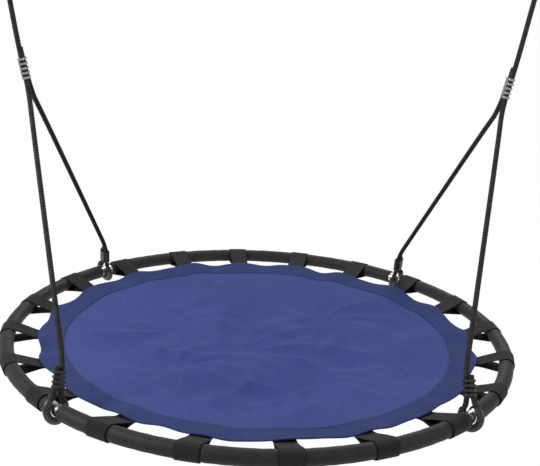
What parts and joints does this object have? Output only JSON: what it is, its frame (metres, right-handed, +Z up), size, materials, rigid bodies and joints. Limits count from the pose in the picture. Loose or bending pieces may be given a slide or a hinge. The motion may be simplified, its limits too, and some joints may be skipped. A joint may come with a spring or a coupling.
{
  "type": "saucer nest swing",
  "caption": "Round nest swing seat: a padded steel ring holds a laced cloth mat and hangs on forked ropes with clamps, carabiners and beam hangers.",
  "frame": {"origin": "middle of the line between the two swing pivots, where the carabiners hang on their bows", "axes": "+X to the right along the line of the hangers, +Y to the back, +Z up"},
  "size_m": [1.1502, 1.0034, 0.937],
  "materials": {
    "steel_tube": "zinc plated, satin",
    "foam": "matt closed-cell foam",
    "screw_steel": "zinc plated",
    "webbing": "flat woven polyester webbing",
    "mat_cloth": "plain woven polyester, royal blue",
    "border_cloth": "folded hem of the same cloth, darker",
    "rope": "braided polyester",
    "hose": "smooth black hose",
    "clamp_zinc": "zinc plated, dull",
    "clamp_black": "black coated",
    "zinc_hardware": "zinc plated",
    "hanger_steel": "zinc plated"
  },
  "bodies": {
    "hangers": {"hanger_left": "hanger_steel", "hanger_right": "hanger_steel"},
    "carabiner_left": {"carabiner_left": "zinc_hardware"},
    "gate_left": {"gate_left": "zinc_hardware", "gate_pin_left": "zinc_hardware"},
    "suspension_left": {"branch_rope_left": "rope", "fork_clamp_left": "clamp_zinc", "lower_clamp_back_left": "clamp_black", "lower_clamp_front_left": "clamp_black", "lower_hose_back_left": "hose", "lower_hose_front_left": "hose", "main_rope_left": "rope", "top_clamp_left": "clamp_black", "top_hose_left": "hose"},
    "carabiner_right": {"carabiner_right": "zinc_hardware"},
    "gate_right": {"gate_right": "zinc_hardware", "gate_pin_right": "zinc_hardware"},
    "suspension_right": {"branch_rope_right": "rope", "fork_clamp_right": "clamp_zinc", "lower_clamp_back_right": "clamp_black", "lower_clamp_front_right": "clamp_black", "lower_hose_back_right": "hose", "lower_hose_front_right": "hose", "main_rope_right": "rope", "top_clamp_right": "clamp_black", "top_hose_right": "hose"},
    "seat": {"foam_sleeve_1": "foam", "foam_sleeve_2": "foam", "foam_sleeve_3": "foam", "foam_sleeve_4": "foam", "frame_tube_1": "steel_tube", "frame_tube_2": "steel_tube", "frame_tube_3": "steel_tube", "frame_tube_4": "steel_tube", "joint_screws": "screw_steel", "mat_border": "border_cloth", "seat_mat": "mat_cloth", "strap_01": "webbing", "strap_02": "webbing", "strap_03": "webbing", "strap_04": "webbing", "strap_05": "webbing", "strap_06": "webbing", "strap_07": "webbing", "strap_08": "webbing", "strap_09": "webbing", "strap_10": "webbing", "strap_11": "webbing", "strap_12": "webbing", "strap_13": "webbing", "strap_14": "webbing", "strap_15": "webbing", "strap_16": "webbing", "strap_17": "webbing", "strap_18": "webbing", "strap_19": "webbing", "strap_20": "webbing"}
  },
  "joints": [
    {"name": "swing", "type": "hinge", "parent": "hangers", "child": "carabiner_left", "pos_m": [-0.52306, 0, 0], "axis": [1, 0, 0], "range_deg": [-35, 35]},
    {"name": "swing_right", "type": "hinge", "parent": "hangers", "child": "carabiner_right", "pos_m": [0.52306, 0, 0], "axis": [1, 0, 0], "range_deg": [-35, 35]},
    {"name": "sway", "type": "hinge", "parent": "carabiner_left", "child": "suspension_left", "pos_m": [-0.50751, 0, -0.07541], "axis": [0, 1, 0], "range_deg": [-5, 5]},
    {"name": "seat_tilt", "type": "hinge", "parent": "suspension_left", "child": "seat", "pos_m": [-0.34365, 0, -0.87], "axis": [0, 1, 0], "range_deg": [-7.5, 7.5]},
    {"name": "right_leg_pivot", "type": "hinge", "parent": "seat", "child": "suspension_right", "pos_m": [0.34365, 0, -0.87], "axis": [0, 1, 0], "range_deg": [-7.5, 7.5]},
    {"name": "gate_left_open", "type": "hinge", "parent": "carabiner_left", "child": "gate_left", "pos_m": [-0.51414, 0.0175, -0.04328], "axis": [0.9794, 0, 0.202], "range_deg": [0, 25], "stiffness_Nm_per_rad": 0.15, "springref_deg": -17.19},
    {"name": "gate_right_open", "type": "hinge", "parent": "carabiner_right", "child": "gate_right", "pos_m": [0.51414, 0.0175, -0.04328], "axis": [0.9794, 0, -0.202], "range_deg": [0, 25], "stiffness_Nm_per_rad": 0.15, "springref_deg": -17.19}
  ],
  "couplings": [
    {"joint": "swing_right", "follows": "swing", "ratio": 1},
    {"joint": "seat_tilt", "follows": "sway", "ratio": -1.4768},
    {"joint": "right_leg_pivot", "follows": "sway", "ratio": 1.4768}
  ]
}
